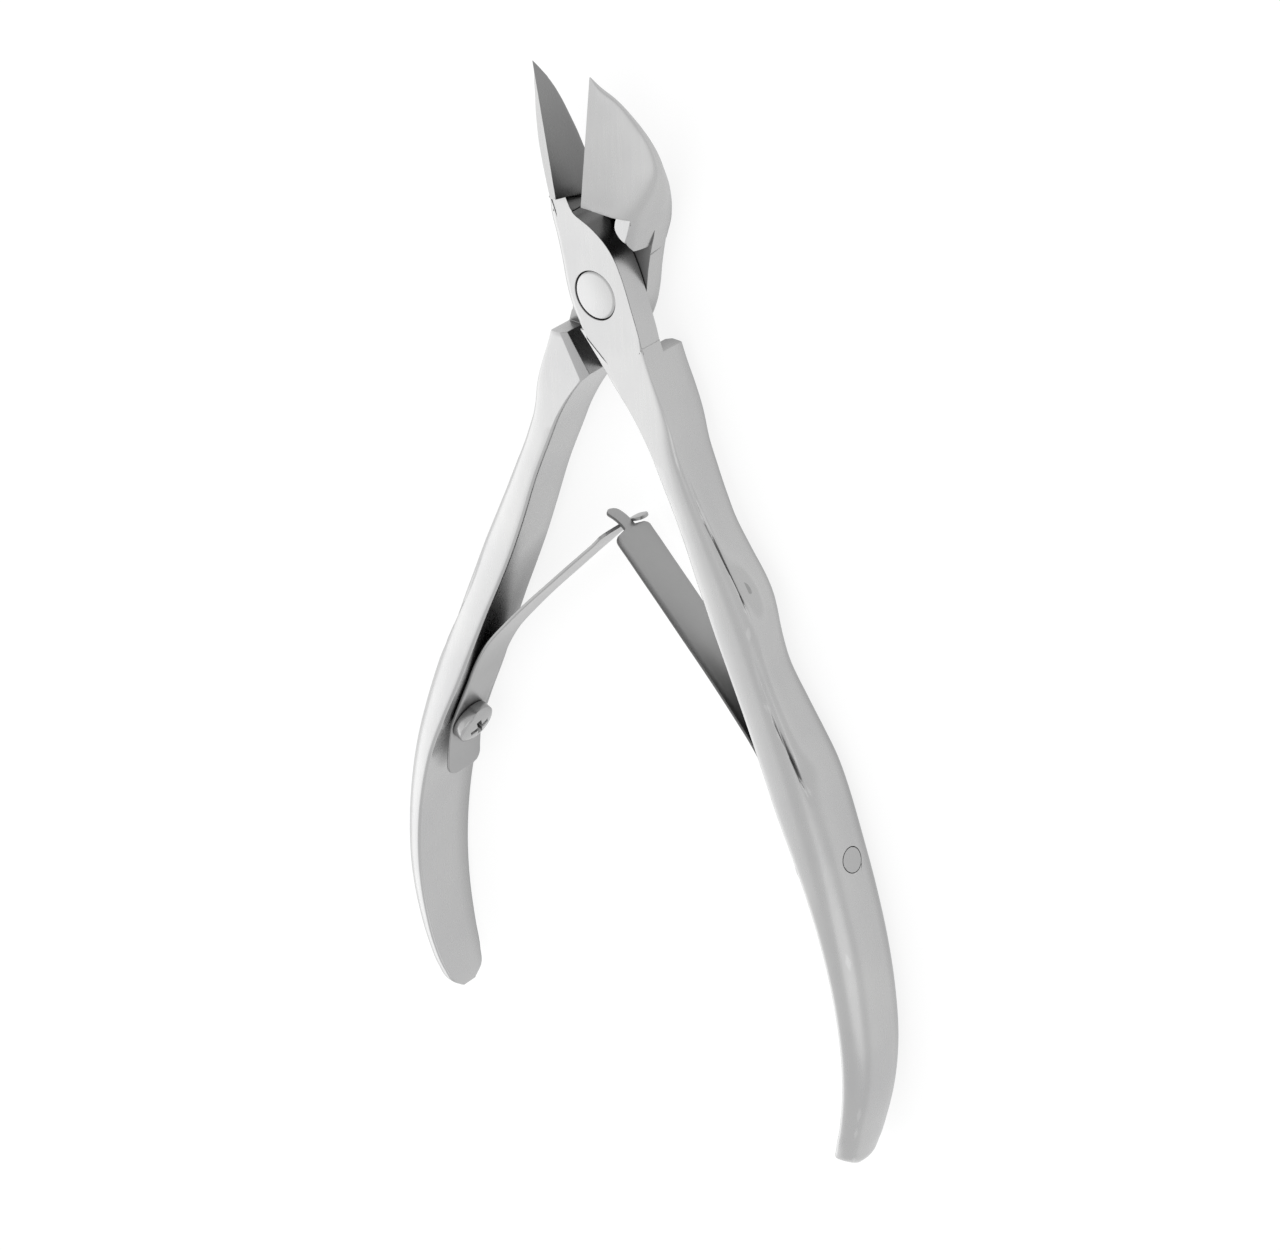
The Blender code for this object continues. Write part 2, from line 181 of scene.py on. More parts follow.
# throat: the hollow beside the jaw's root, at the lap's rear face and front face
THROAT_LOW = [
    (-3.15, 9.00), (-2.25, 9.40), (0.75, 9.60), (0.75, 6.70),
    (-0.40, 7.34), (-1.45, 7.79), (-2.20, 8.14), (-2.72, 8.72),
]
THROAT_HIGH = [
    (-3.25, 9.85), (-1.95, 10.23), (0.75, 10.55), (0.75, 6.70),
    (-0.40, 7.34), (-1.45, 7.79), (-2.20, 8.14), (-2.72, 8.72),
]
# jaw: Y, then (distance outwards, Z) of the cutting edge, the bevel's outer edge, the widest point, the rear
# edge and the rear spine
JAW = [
    (24.82, (3.58, 8.73), (3.62, 8.70), (3.64, 8.66), (3.62, 8.62), (3.59, 8.64)),
    (23.70, (3.42, 8.73), (3.95, 8.25), (4.05, 7.95), (3.95, 7.75), (3.50, 7.72)),
    (22.10, (3.19, 8.73), (4.85, 7.35), (5.15, 6.85), (4.95, 6.50), (3.40, 6.50)),
    (20.00, (2.89, 8.73), (5.70, 6.45), (6.15, 5.70), (5.90, 5.25), (3.25, 5.30)),
    (18.00, (2.60, 8.73), (6.35, 5.80), (6.98, 4.85), (6.65, 4.25), (3.10, 4.40)),
    (15.90, (2.30, 8.73), (6.70, 5.40), (7.48, 4.15), (7.10, 3.35), (2.90, 3.55)),
    (14.20, (2.05, 8.73), (6.75, 5.30), (7.62, 3.65), (7.20, 2.75), (2.75, 2.95)),
    (12.40, (1.80, 8.73), (6.60, 5.30), (7.35, 3.00), (6.95, 1.90), (2.60, 2.15)),
    (10.97, (1.59, 8.73), (6.35, 5.35), (6.95, 2.40), (6.50, 1.20), (2.50, 1.45)),
    (9.30, (1.45, 8.73), (5.70, 5.50), (6.30, 2.00), (5.95, 0.50), (2.60, 0.60)),
    (7.60, (2.90, 7.20), (5.00, 5.30), (5.75, 2.00), (5.45, 0.15), (2.90, 0.20)),
    (5.60, (3.40, 5.40), (4.30, 5.10), (4.95, 2.00), (4.80, 0.20), (3.40, 0.30)),
]
# leaf: foot below the screw, then the free strip; the part between lies on the handle
LEAF_FOOT = [(25.30, -64.60), (25.22, -63.00), (25.02, -61.40), (24.72, -59.60)]
LEAF_FREE = [
    (18.35, -45.90), (15.20, -42.10), (12.00, -38.60), (9.00, -35.50), (6.30, -32.70), (3.90, -30.25),
    (2.30, -28.60),
]
TONGUE = [(1.25, -27.55), (0.55, -26.75), (-0.35, -26.15), (-1.35, -25.80), (-2.25, -25.70)]
HOOK = [(1.65, -27.85), (0.95, -27.10), (0.10, -26.50), (-0.75, -26.10), (-1.35, -25.90)]
JAW_TIP = JAW[0][0]


# ---------------------------------------------------------------- shape helpers
def read_table(table, stations):
    """The table's columns at the stations, along a smooth curve through its rows."""
    table = np.array(table, float)
    key = table[:, 0]
    slopes = np.gradient(table, key, axis=0)
    rows = []
    for s in stations:
        i = int(np.clip(np.searchsorted(key, s) - 1, 0, len(key) - 2))
        span = key[i + 1] - key[i]
        t = (s - key[i]) / span
        rows.append(
            (2 * t**3 - 3 * t**2 + 1) * table[i]
            + (t**3 - 2 * t**2 + t) * span * slopes[i]
            + (3 * t**2 - 2 * t**3) * table[i + 1]
            + (t**3 - t**2) * span * slopes[i + 1]
        )
    return np.array(rows)


def smooth_path(points, step):
    """Points about step apart on a smooth curve through the given points."""
    points = np.array(points, float)
    if len(points) == 2:
        return points
    lengths = np.concatenate([[0], np.cumsum(np.linalg.norm(np.diff(points, axis=0), axis=1))])
    count = max(2, int(round(lengths[-1] / step)) + 1)
    table = np.column_stack([lengths, points])
    return read_table(table, np.linspace(0, lengths[-1], count))[:, 1:]


def outline(runs, side, step=0.35):
    points = []
    for run in runs:
        points += [(side * x, y) for x, y in smooth_path(run, step)[:-1]]
    return points


def new_object(name, verts, faces):
    mesh = bpy.data.meshes.new(name)
    mesh.from_pydata([tuple(v) for v in verts], [], faces)
    mesh.validate()
    made = bpy.data.objects.new(name, mesh)
    bpy.context.scene.collection.objects.link(made)
    outward(made)
    return made


def outward(item):
    cage = bmesh.new()
    cage.from_mesh(item.data)
    bmesh.ops.recalc_face_normals(cage, faces=cage.faces)
    cage.to_mesh(item.data)
    cage.free()


def loft(name, rings):
    rings = [list(r) for r in rings]
    n = len(rings[0])
    verts = [p for ring in rings for p in ring]
    faces = []
    for k in range(len(rings) - 1):
        for i in range(n):
            j = (i + 1) % n
            faces.append((k * n + i, k * n + j, (k + 1) * n + j, (k + 1) * n + i))
    faces.append(tuple(range(n)))
    faces.append(tuple(range((len(rings) - 1) * n, len(rings) * n)))
    return new_object(name, verts, faces)


def prism(name, points, low, high):
    return loft(name, [[(x, y, z) for x, y in points] for z in (low, high)])


def cylinder(name, radius, start, end, steps=96):
    start, end = Vector(start), Vector(end)
    axis = end - start
    turn = axis.to_track_quat("Z", "Y")
    rings = []
    for centre in (start, end):
        rings.append([
            centre + turn @ Vector((radius * math.cos(a), radius * math.sin(a), 0))
            for a in np.linspace(0, 2 * math.pi, steps, endpoint=False)
        ])
    return loft(name, rings)


def lathe(name, profile, centre, axis, steps=96):
    """A turned solid: profile holds (radius, height) from the axis to the axis."""
    turn = Vector(axis).to_track_quat("Z", "Y")
    centre = Vector(centre)
    verts, faces = [], []
    inner = profile[1:-1]
    for radius, height in inner:
        for a in np.linspace(0, 2 * math.pi, steps, endpoint=False):
            verts.append(centre + turn @ Vector((radius * math.cos(a), radius * math.sin(a), height)))
    for k in range(len(inner) - 1):
        for i in range(steps):
            j = (i + 1) % steps
            faces.append((k * steps + i, k * steps + j, (k + 1) * steps + j, (k + 1) * steps + i))
    for point, base in ((profile[0], 0), (profile[-1], (len(inner) - 1) * steps)):
        tip = len(verts)
        verts.append(centre + turn @ Vector((0, 0, point[1])))
        for i in range(steps):
            faces.append((tip, base + i, base + (i + 1) % steps))
    return new_object(name, verts, faces)


def bake_modifiers(item):
    """Applies the item's modifiers to its mesh."""
    bpy.context.view_layer.update()
    done = bpy.data.meshes.new_from_object(item.evaluated_get(bpy.context.evaluated_depsgraph_get()))
    item.modifiers.clear()
    item.data = done


def boolean(item, tool, operation):
    step = item.modifiers.new("cut", "BOOLEAN")
    step.operation = operation
    step.solver = "EXACT"
    step.object = tool
    bake_modifiers(item)
    bpy.data.objects.remove(tool, do_unlink=True)


def tidy_mesh(item, width, angle=30, segments=2):
    """Rounds the sharp edges a little, except those named above, then smooths the shading up to an angle.

    Where short edges meet, the rounding can throw a corner off the surface; such a corner is put back on it.
    """
    cage = bmesh.new()
    cage.from_mesh(item.data)
    bmesh.ops.remove_doubles(cage, verts=cage.verts, dist=0.004)
    bmesh.ops.dissolve_degenerate(cage, edges=cage.edges, dist=0.002)
    weights = cage.edges.layers.float.new("bevel_weight_edge")
    across, along, up = LAP_CORNER
    for edge in cage.edges:
        middle = (edge.verts[0].co + edge.verts[1].co) / 2
        at_corner = abs(middle.x) > across and middle.y > along and middle.z < up
        if middle.z > SHARP_ABOVE or middle.y > SHARP_BEYOND or at_corner:
            continue
        if edge.calc_face_angle(0) > math.radians(angle):
            edge[weights] = 1.0
    surface = BVHTree.FromBMesh(cage)
    cage.to_mesh(item.data)
    cage.free()
    if width > 0:
        step = item.modifiers.new("round", "BEVEL")
        step.width = width
        step.segments = segments
        step.limit_method = "WEIGHT"
        step.use_clamp_overlap = False
        bake_modifiers(item)
        for vert in item.data.vertices:
            nearest, _, _, distance = surface.find_nearest(vert.co)
            if distance > width:
                vert.co = nearest
    item.data.shade_smooth()
    item.data.set_sharp_from_angle(angle=math.radians(40))


def place(item, material, body, nodes):
    """Scales the piece to metres, gives it its finish and sets it on its body."""
    item.data.transform(Matrix.Scale(MM, 4))
    weigh = item.modifiers.new("normals", "WEIGHTED_NORMAL")
    weigh.keep_sharp = True
    weigh.weight = 50
    bake_modifiers(item)
    item.data.materials.clear()
    item.data.materials.append(material)
    if body:
        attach(item, body)
    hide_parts(*nodes)
    return item


# ---------------------------------------------------------------- arms
def handle_stations():
    return np.concatenate([
        np.arange(4.2, 17.0, 0.6),
        np.arange(17.0, 54.0, 0.35),
        np.arange(54.0, 88.0, 0.7),
        88.0 + 5.2 * np.sin(np.linspace(0, math.pi / 2, 18)),
    ])


def section(row, scoop):
    """One section of the handle: (distance from the inner face's plane, height from the middle)."""
    inner, outer, half, square, rear_square = row[1:]
    _, hollow, depth, crease, ridge = scoop
    width = outer - inner
    down = row[0]
    corner = min(0.35, 0.3 * half, 0.3 * width, 0.06 + 0.04 * max(0.0, down - 8.0))

    def across(up):
        power = square if up > 0 else rear_square
        return max(0.0, 1 - abs(up) ** power) ** (1 / power)

    def arc(angle, power):
        return math.cos(angle) ** (2 / power), math.sin(angle) ** (2 / power)

    points = []
    for a in np.linspace(math.pi, math.pi / 2, 5)[:-1]:
        points.append((inner + corner * (1 + math.cos(a)), half - corner * (1 - math.sin(a))))
    full = math.acos((corner / width) ** (square / 2))
    for f in np.linspace(0, 1, 18)[:-1]:
        out, up = arc((1 - f) * full + f * math.asin(min(1, crease ** (square / 2))), square)
        points.append((inner + width * out, half * up))
    for f in [*np.linspace(0, WALL_END, 11)[:-1], *np.linspace(WALL_END, 1, 12)[:-1]]:
        up = crease + (ridge - crease) * f
        fall = min(1.0, f / WALL)
        fall = fall * fall * (3 - 2 * fall)
        rise = (1 - max(0.0, f - WALL) / (1 - WALL)) ** 1.6
        share = min(1.0, max(0.0, f - WALL_END) / 0.7)
        share = share * share * (3 - 2 * share)
        groove = depth * 0.7 * math.exp(-(((f - WALL) / 0.045) ** 2))
        drop = depth * fall * rise + groove
        points.append((inner + (width - hollow * share) * across(up) - drop, half * up))
    end = math.asin(min(1, abs(ridge) ** (rear_square / 2)))
    full = math.acos((corner / width) ** (rear_square / 2))
    for f in np.linspace(0, 1, 18):
        out, up = arc((1 - f) * end + f * full, rear_square)
        points.append((inner + (width - hollow) * out, -half * up))
    for a in np.linspace(math.pi / 2, math.pi, 5)[1:]:
        points.append((inner + corner * (1 + math.cos(a)), -half + corner * (1 - math.sin(a))))
    return points


def handle(name, side):
    stations = handle_stations()
    rows = read_table(HANDLE, stations)
    scoops = read_table(SCOOPS, stations)
    scoops[:, 2] = np.maximum(scoops[:, 2], 0)
    rings = []
    for down, row, scoop in zip(stations, rows, scoops):
        rings.append([(side * x, -down, MID + z) for x, z in section(row, scoop)])
    return loft(name, rings)


def rounded(points, count):
    """A smooth curve through three or more (out, z) points, read count times."""
    points = np.array(points, float)
    lengths = np.concatenate([[0], np.cumsum(np.linalg.norm(np.diff(points, axis=0), axis=1)) + 1e-9])
    return read_table(np.column_stack([lengths, points]), np.linspace(0, lengths[-1], count))[:, 1:]


def jaw(name, side):
    table = [(JAW_TIP - row[0], *[v for point in row[1:] for v in point]) for row in JAW]
    stations = np.concatenate([np.linspace(0, 2.0, 12)[:-1], np.arange(2.0, 19.2, 0.3), [19.22]])
    rings = []
    for down, *values in read_table(table, stations):
        edge, bevel, wide, rear, spine = np.array(values).reshape(5, 2)
        flat = [edge + (bevel - edge) * f for f in np.linspace(0, 0.42, 7)]
        start = edge + (bevel - edge) * 0.48
        bend = bevel + (bevel - edge) * max(0.05, (wide[0] - bevel[0]) / max(1e-3, bevel[0] - edge[0]))
        back = [
            start * (1 - f) ** 2 + bend * 2 * f * (1 - f) + wide * f**2
            for f in np.linspace(0, 1, 16)
        ]
        back += list(rounded([wide, rear, rear + (spine - rear) * 0.15], 6))[1:]
        close = [rear + (spine - rear) * f for f in np.linspace(0.2, 1, 5)]
        relief = [spine + (edge - spine) * f for f in np.linspace(0, 1, 8)[1:-1]]
        ring = flat + back + close + relief
        rings.append([(-side * out, JAW_TIP - down, up) for out, up in ring])
    return loft(name, rings)


def inner_face_at(down):
    here, below = read_table(HANDLE, [down, down + 1])[:, 1]
    tangent = np.array([below - here, -1.0])
    return np.array([here, -down]), tangent / np.linalg.norm(tangent)


def screw_axis(side):
    point, tangent = inner_face_at(SCREW_DOWN)
    normal = np.array([tangent[1], -tangent[0]])
    return np.array([side * point[0], point[1], MID]), np.array([side * normal[0], normal[1], 0.0])


def lap(side, low, high, in_front):
    """The plate round the pivot. Its outer edge is rounded towards the face it shows."""
    rings = []
    for turn in np.linspace(0, math.pi / 2, 9):
        inset = LAP_ROUND * (1 - math.cos(turn))
        fall = LAP_ROUND * (1 - math.sin(turn))
        rings.append((inset, high - fall if in_front else low + fall))
    rings.insert(0, (0.0, low if in_front else high))
    counts = [len(smooth_path(run, 0.35)) - 1 for run in LAP_RUNS]
    base = np.array(outline(LAP_RUNS, 1))
    first, last = counts[0], counts[0] + counts[1]
    along = np.roll(base, -1, axis=0) - np.roll(base, 1, axis=0)
    along /= np.linalg.norm(along, axis=1)[:, None]
    inward = np.column_stack([-along[:, 1], along[:, 0]])
    share = np.zeros(len(base))
    share[first:last] = np.minimum(1, (last - np.arange(first, last)) * 0.35 / 2.2)
    inward[first] = (0.95, -0.3)
    made = []
    for inset, z in rings:
        moved = base + inward * (share * inset)[:, None]
        made.append([(side * x, y, z) for x, y in moved])
    return loft("lap", made)


def shoulder_chamfer(side, in_front):
    """The wedge taken off the pocket's long wall at the face it opens to."""
    start, end = np.array([4.45, -5.40]), np.array([1.90, -9.70])
    way = (end - start) / np.linalg.norm(end - start)
    into = np.array([way[1], -way[0]])
    rings = []
    for point, wide, deep in ((start - way * 0.6, 0.40, 0.55), (end + way * 0.9, 0.75, 0.95)):
        ring = []
        for across, up in ((-2 * wide, deep), (wide, -2 * deep), (wide, deep)):
            x, y = point + into * across
            ring.append((side * x, y, up + JOINT if in_front else -up))
        rings.append(ring)
    return loft("shoulder", rings)


def pocket(side, low, high, lap_in_front):
    """The half of the joint cleared for the other lap. Its end slopes up at the arm's outer side."""
    flat = outline(POCKET_RUNS, 1)
    sloped = []
    for x, y in flat:
        share = min(1.0, max(0.0, (-3.9 - x) / 0.6)) if 6.0 < y < 7.5 else 0.0
        sloped.append((x, y - 3.3 * share))
    if lap_in_front:
        levels = ((flat, -5), (flat, 0.0), (sloped, low))
    else:
        levels = ((sloped, high), (flat, JOINT), (flat, JOINT + 8))
    return loft("pocket", [[(side * x, y, z) for x, y in shape] for shape, z in levels])


def throat(side):
    rings = []
    levels = ((THROAT_LOW, 2.5), (THROAT_LOW, MID), (THROAT_HIGH, JOINT), (THROAT_HIGH, JOINT + 0.02))
    for shape, z in levels:
        rings.append([(side * x, y, z) for x, y in shape])
    return loft("throat", rings)


def heel(side):
    rings = []
    for shape, z in ((HEEL_LOW, JOINT), (HEEL_HIGH, EDGE_HEIGHT), (HEEL_HIGH, EDGE_HEIGHT + 6)):
        rings.append([(-side * x, y, z) for x, y in shape])
    return loft("heel", rings)


def arm(name, side, lap_in_front, material):
    body = handle(name, side)
    low, high = (MID + LAP_GAP / 2, JOINT) if lap_in_front else (0.0, MID - LAP_GAP / 2)
    boolean(body, lap(side, low, high, lap_in_front), "UNION")
    boolean(body, jaw("jaw", side), "UNION")
    boolean(body, pocket(side, low, high, lap_in_front), "DIFFERENCE")
    boolean(body, heel(side), "DIFFERENCE")
    boolean(body, shoulder_chamfer(side, not lap_in_front), "DIFFERENCE")
    if lap_in_front:
        boolean(body, throat(side), "DIFFERENCE")
    else:
        boolean(body, prism("root", [(side * x, y) for x, y in REAR_ROOT], 0.3, high), "UNION")
    boolean(body, cylinder("bore", PIN_RADIUS + PIN_GAP, (0, 0, -2), (0, 0, 8)), "DIFFERENCE")
    point, normal = screw_axis(side)
    hole = cylinder("hole", SCREW_HOLE_RADIUS, point + normal * 6, point - normal * 9, 64)
    boolean(body, hole, "DIFFERENCE")
    tidy_mesh(body, EDGE_ROUND)
    return place(body, material, name, [name])


def pivot_pin(material):
    top = [
        (0, JOINT),
        (PIN_RADIUS - 0.3, JOINT),
        (PIN_RADIUS - 0.12, JOINT - 0.03),
        (PIN_RADIUS, JOINT - 0.16),
    ]
    profile = top + [(r, JOINT - z) for r, z in top[::-1]]
    pin = lathe("pivot_pin_turned", profile, (0, 0, 0), (0, 0, 1), 128)
    tidy_mesh(pin, 0)
    return place(pin, material, "front_arm", ["pivot_pin"])


# ---------------------------------------------------------------- springs and screws
def leaf_spring(name, side, material):
    foot = list(LEAF_FOOT)
    for down in np.arange(57.6, 49.0, -1.3):
        point, tangent = inner_face_at(down)
        foot.append(tuple(point + np.array([tangent[1], -tangent[0]]) * (LEAF_GAP + LEAF_THICKNESS / 2)))
    tail = TONGUE if side > 0 else HOOK
    path = smooth_path(foot + LEAF_FREE + tail, 0.25)
    lengths = np.concatenate([[0], np.cumsum(np.linalg.norm(np.diff(path, axis=0), axis=1))])
    total = lengths[-1]
    along = np.gradient(path, axis=0)
    along /= np.linalg.norm(along, axis=1)[:, None]
    across = np.column_stack([along[:, 1], -along[:, 0]])
    neck = total - (TONGUE_LENGTH if side > 0 else TAB_LENGTH)
    sides = []
    for s in lengths:
        low, high = -LEAF_WIDTH / 2, LEAF_WIDTH / 2
        if s < FOOT_CORNER:
            cut = FOOT_CORNER - math.sqrt(max(0.0, FOOT_CORNER**2 - (FOOT_CORNER - s) ** 2))
            low, high = low + cut, high - cut
        if s > neck:
            f = min(1.0, (s - neck) / NECK_LENGTH)
            fall = 1 - math.sqrt(max(0.0, 1 - f**2))
            narrow = (-TONGUE_REACH, TONGUE_REACH) if side > 0 else (-LEAF_WIDTH / 2, TAB_TOP)
            low, high = low + (narrow[0] - low) * fall, high + (narrow[1] - high) * fall
        left = total - s
        if left < TIP_RADIUS:
            chord = math.sqrt(max(0.0, TIP_RADIUS**2 - (TIP_RADIUS - left) ** 2))
            keep = max(TIP_SHARE, chord / TIP_RADIUS)
            centre, reach = (low + high) / 2, (high - low) / 2
            low, high = centre - reach * keep, centre + reach * keep
        sides.append((low, high))
    rings = []
    for p, n, (low, high) in zip(path, across, sides):
        a, b = p + n * LEAF_THICKNESS / 2, p - n * LEAF_THICKNESS / 2
        steps = np.linspace(low, high, 9)
        outer = [(side * a[0], a[1], MID + z) for z in steps]
        rings.append(outer + [(side * b[0], b[1], MID + z) for z in steps[::-1]])
    leaf = loft(name, rings)
    point, normal = screw_axis(side)
    hole = cylinder("hole", SCREW_HOLE_RADIUS + 0.05, point - normal, point + normal * 3, 48)
    boolean(leaf, hole, "DIFFERENCE")
    tidy_mesh(leaf, 0.06)
    body = "right_leaf" if side > 0 else "left_leaf"
    place(leaf, material, None, [body + "_spring"])
    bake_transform(leaf)
    return leaf


def outside(side):
    """The space outside the handle round a screw's end, which cuts the end flush."""
    reach = 2.2
    beyond = 9
    downs = np.arange(51.0, 64.5, 0.35)
    rings = []
    for down, (_, inner, outer, half, front, rear) in zip(downs, read_table(HANDLE, downs)):
        ring = []
        for z in np.linspace(-reach, reach, 15):
            power = front if z > 0 else rear
            ring.append((inner + (outer - inner) * (1 - (abs(z) / half) ** power) ** (1 / power), z))
        ring += [(outer + beyond, reach), (outer + beyond, -reach)]
        rings.append([(side * x, -down, MID + z) for x, z in ring])
    return loft("outside", rings)


def spring_screw(name, side, material):
    point, normal = screw_axis(side)
    seat = LEAF_GAP + LEAF_THICKNESS + 0.03
    r, h = SCREW_HEAD_RADIUS, SCREW_HEAD_HEIGHT
    dome = [(0.0, h)]
    for f in np.linspace(0.12, 1, 14):
        dome.append((r * f, 0.42 * h + 0.58 * h * math.sqrt(max(0.0, 1 - (f * 0.93) ** 2.4)) ** 0.9))
    dome += [(r, 0.12 * h), (r - 0.1, 0.0), (SCREW_SHANK_RADIUS, 0.0)]
    dome += [(SCREW_SHANK_RADIUS, -SCREW_SHANK_LENGTH), (0.0, -SCREW_SHANK_LENGTH)]
    head = lathe(name, dome, point + normal * seat, normal)
    for roll in (RECESS_TURN, RECESS_TURN + math.pi / 2):
        up = Vector((0, 0, 1))
        out = Vector(normal)
        flat = out.cross(up)
        way = up * math.cos(roll) + flat * math.sin(roll)
        wide = out.cross(way)
        base = Vector(point) + out * (seat + h)
        rings = []
        for depth, reach, thick in ((0.6, 1.45, 0.36), (-0.8, 1.0, 0.26)):
            rings.append([
                base + out * depth + way * reach * i + wide * thick * j
                for i, j in ((1, 1), (1, -1), (-1, -1), (-1, 1))
            ])
        boolean(head, loft("recess", rings), "DIFFERENCE")
    boolean(head, outside(side), "DIFFERENCE")
    tidy_mesh(head, 0.035)
    arm_name = "front_arm" if side > 0 else "rear_arm"
    label = "right" if side > 0 else "left"
    return place(head, material, arm_name, [label + "_spring_screw"])


# ---------------------------------------------------------------- materials
# noise cells per metre across and along the brushing
GRAIN = (3200, 130, 3200)


def node(tree, kind, **values):
    made = tree.nodes.new(kind)
    for key, value in values.items():
        if key in made.bl_rna.properties:
            setattr(made, key, value)
        else:
            made.inputs[key.replace("_", " ")].default_value = value
    return made


def ranged(tree, source, spread, levels=(0.0, 1.0), smooth=True):
    """The source's value, read from the two ends of spread to the two levels."""
    made = node(tree, "ShaderNodeMapRange", interpolation_type="SMOOTHSTEP" if smooth else "LINEAR")
    for socket, value in zip(("From Min", "From Max", "To Min", "To Max"), (*spread, *levels)):
        made.inputs[socket].default_value = value
    tree.links.new(source, made.inputs["Value"])
    return made.outputs[0]


def combined(tree, operation, source, other):
    """A math node of a socket with another socket or a number."""
    made = node(tree, "ShaderNodeMath", operation=operation)
    tree.links.new(source, made.inputs[0])
    if isinstance(other, float):
        made.inputs[1].default_value = other
    else:
        tree.links.new(other, made.inputs[1])
    return made.outputs[0]


def darkened(tree, colour, by, mask=None):
    """The colour multiplied by a socket or a grey level, where the mask lets it."""
    made = node(tree, "ShaderNodeMix", data_type="RGBA", blend_type="MULTIPLY")
    tree.links.new(colour, made.inputs["A"])
    if isinstance(by, float):
        made.inputs["B"].default_value = (by, by, by, 1)
    else:
        tree.links.new(by, made.inputs["B"])
    if mask is None:
        made.inputs["Factor"].default_value = 1.0
    else:
        tree.links.new(mask, made.inputs["Factor"])
    return made.outputs["Result"]


def grey_ramp(tree, source, stops):
    """A colour ramp of grey levels, given as (position, level)."""
    made = node(tree, "ShaderNodeValToRGB")
    for position, _ in stops[1:-1]:
        made.color_ramp.elements.new(position)
    for stop, (position, level) in zip(made.color_ramp.elements, stops):
        stop.position = position
        stop.color = (*level, 1) if isinstance(level, tuple) else (level, level, level, 1)
    tree.links.new(source, made.inputs[0])
    return made.outputs[0]


def paint_jaw_shade(tree, colour, spot, facing, inward):
    """Painted shade: darkens the jaw's inner face, more towards its root, and the floor of the pocket."""
    sideways = ranged(tree, facing.outputs["X"], (0.15 * inward, 0.45 * inward))
    beyond_pin = ranged(tree, spot.outputs["Y"], (3.5 * MM, 7.5 * MM))
    inner_face = combined(tree, "MULTIPLY", sideways, beyond_pin)
    depth = ranged(tree, spot.outputs["Y"], (9.5 * MM, 23.0 * MM), (0.30, 0.52), smooth=False)
    colour = darkened(tree, colour, depth, inner_face)
    low = combined(tree, "LESS_THAN", spot.outputs["Z"], 3.2 * MM)
    level = combined(tree, "GREATER_THAN", facing.outputs["Z"], 0.6)
    return darkened(tree, colour, 0.7, combined(tree, "MULTIPLY", low, level))


def crease_shade_and_edge_sheen(tree, colour, spot):
    """Painted shade in the handle's creases, and its sharpest edges made lighter as wear and painted
    highlight.
    """
    shape = node(tree, "ShaderNodeNewGeometry")
    stops = ((0.38, 0.28), (0.47, 1.0), (0.55, 1.0), (0.62, 1.12))
    shade_and_sheen = grey_ramp(tree, shape.outputs["Pointiness"], stops)
    handles = ranged(tree, spot.outputs["Y"], (-12.0 * MM, -16.0 * MM))
    return darkened(tree, colour, shade_and_sheen, handles)


def steel(name, tone, rough, seed=0.0, inward=0, front_edge_shade=1.0, shadow=0.3):
    """Satin steel: cloudy tone, brushed grain along the piece, painted shade in cavities and (on the arms) in
    creases and on inner jaw faces, and lighter sharp edges as wear and painted highlight.

    inward is the X sign that an arm's inner jaw face looks along, or 0 for the other pieces. front_edge_shade
    is the level of painted shade on a strip's front edge, and shadow is the level of painted shade deep in a
    cavity.
    """
    made = bpy.data.materials.new(name)
    made.use_nodes = True
    tree = made.node_tree
    shader = tree.nodes["Principled BSDF"]
    shader.inputs["Metallic"].default_value = 1.0
    link = tree.links.new
    place_in = node(tree, "ShaderNodeTexCoord")
    shift = node(tree, "ShaderNodeMapping")
    shift.inputs["Location"].default_value = (seed, seed * 0.7, seed * 1.3)
    link(place_in.outputs["Object"], shift.inputs["Vector"])

    cloud = node(tree, "ShaderNodeTexNoise", Scale=90.0, Detail=4.0, Roughness=0.55)
    link(shift.outputs[0], cloud.inputs["Vector"])
    cool = (tone * 0.95, tone * 0.95, tone * 0.955)
    warm = (tone * 1.04, tone * 1.04, tone * 1.035)
    colour = grey_ramp(tree, cloud.outputs[0], ((0.3, cool), (0.75, warm)))

    spot = node(tree, "ShaderNodeSeparateXYZ")
    link(place_in.outputs["Object"], spot.inputs[0])
    facing = node(tree, "ShaderNodeSeparateXYZ")
    link(place_in.outputs["Normal"], facing.inputs[0])
    # Painted shade on the arms' inner jaw faces, pocket floors and handle creases, and lighter handle edges
    # as wear and painted highlight.
    if inward:
        colour = paint_jaw_shade(tree, colour, spot, facing, inward)
        colour = crease_shade_and_edge_sheen(tree, colour, spot)
    # Painted shade on a strip's front edge, standing in for the shadow between the strip and the handle.
    if front_edge_shade < 1:
        colour = darkened(tree, colour, front_edge_shade, ranged(tree, facing.outputs["Z"], (0.5, 0.8)))

    # Painted shade: the colour darkens where ambient occlusion finds nearby surfaces, down to the shadow
    # level deep in a cavity.
    cavity = node(tree, "ShaderNodeAmbientOcclusion", samples=16, Distance=0.005)
    shade = ranged(tree, cavity.outputs["AO"], (0.1, 0.8), (shadow, 1.0), smooth=False)
    link(darkened(tree, colour, shade), shader.inputs["Base Color"])

    brush = node(tree, "ShaderNodeMapping")
    brush.inputs["Scale"].default_value = GRAIN
    link(shift.outputs[0], brush.inputs["Vector"])
    lines = node(tree, "ShaderNodeTexNoise", Scale=1.0, Detail=3.0, Roughness=0.6)
    link(brush.outputs[0], lines.inputs["Vector"])
    gloss = ranged(tree, lines.outputs[0], (0.3, 0.7), (rough * 0.93, rough * 1.09), smooth=False)
    link(gloss, shader.inputs["Roughness"])
    bump = node(tree, "ShaderNodeBump", Strength=0.015, Distance=0.00001)
    link(lines.outputs[0], bump.inputs["Height"])
    link(bump.outputs[0], shader.inputs["Normal"])
    return made


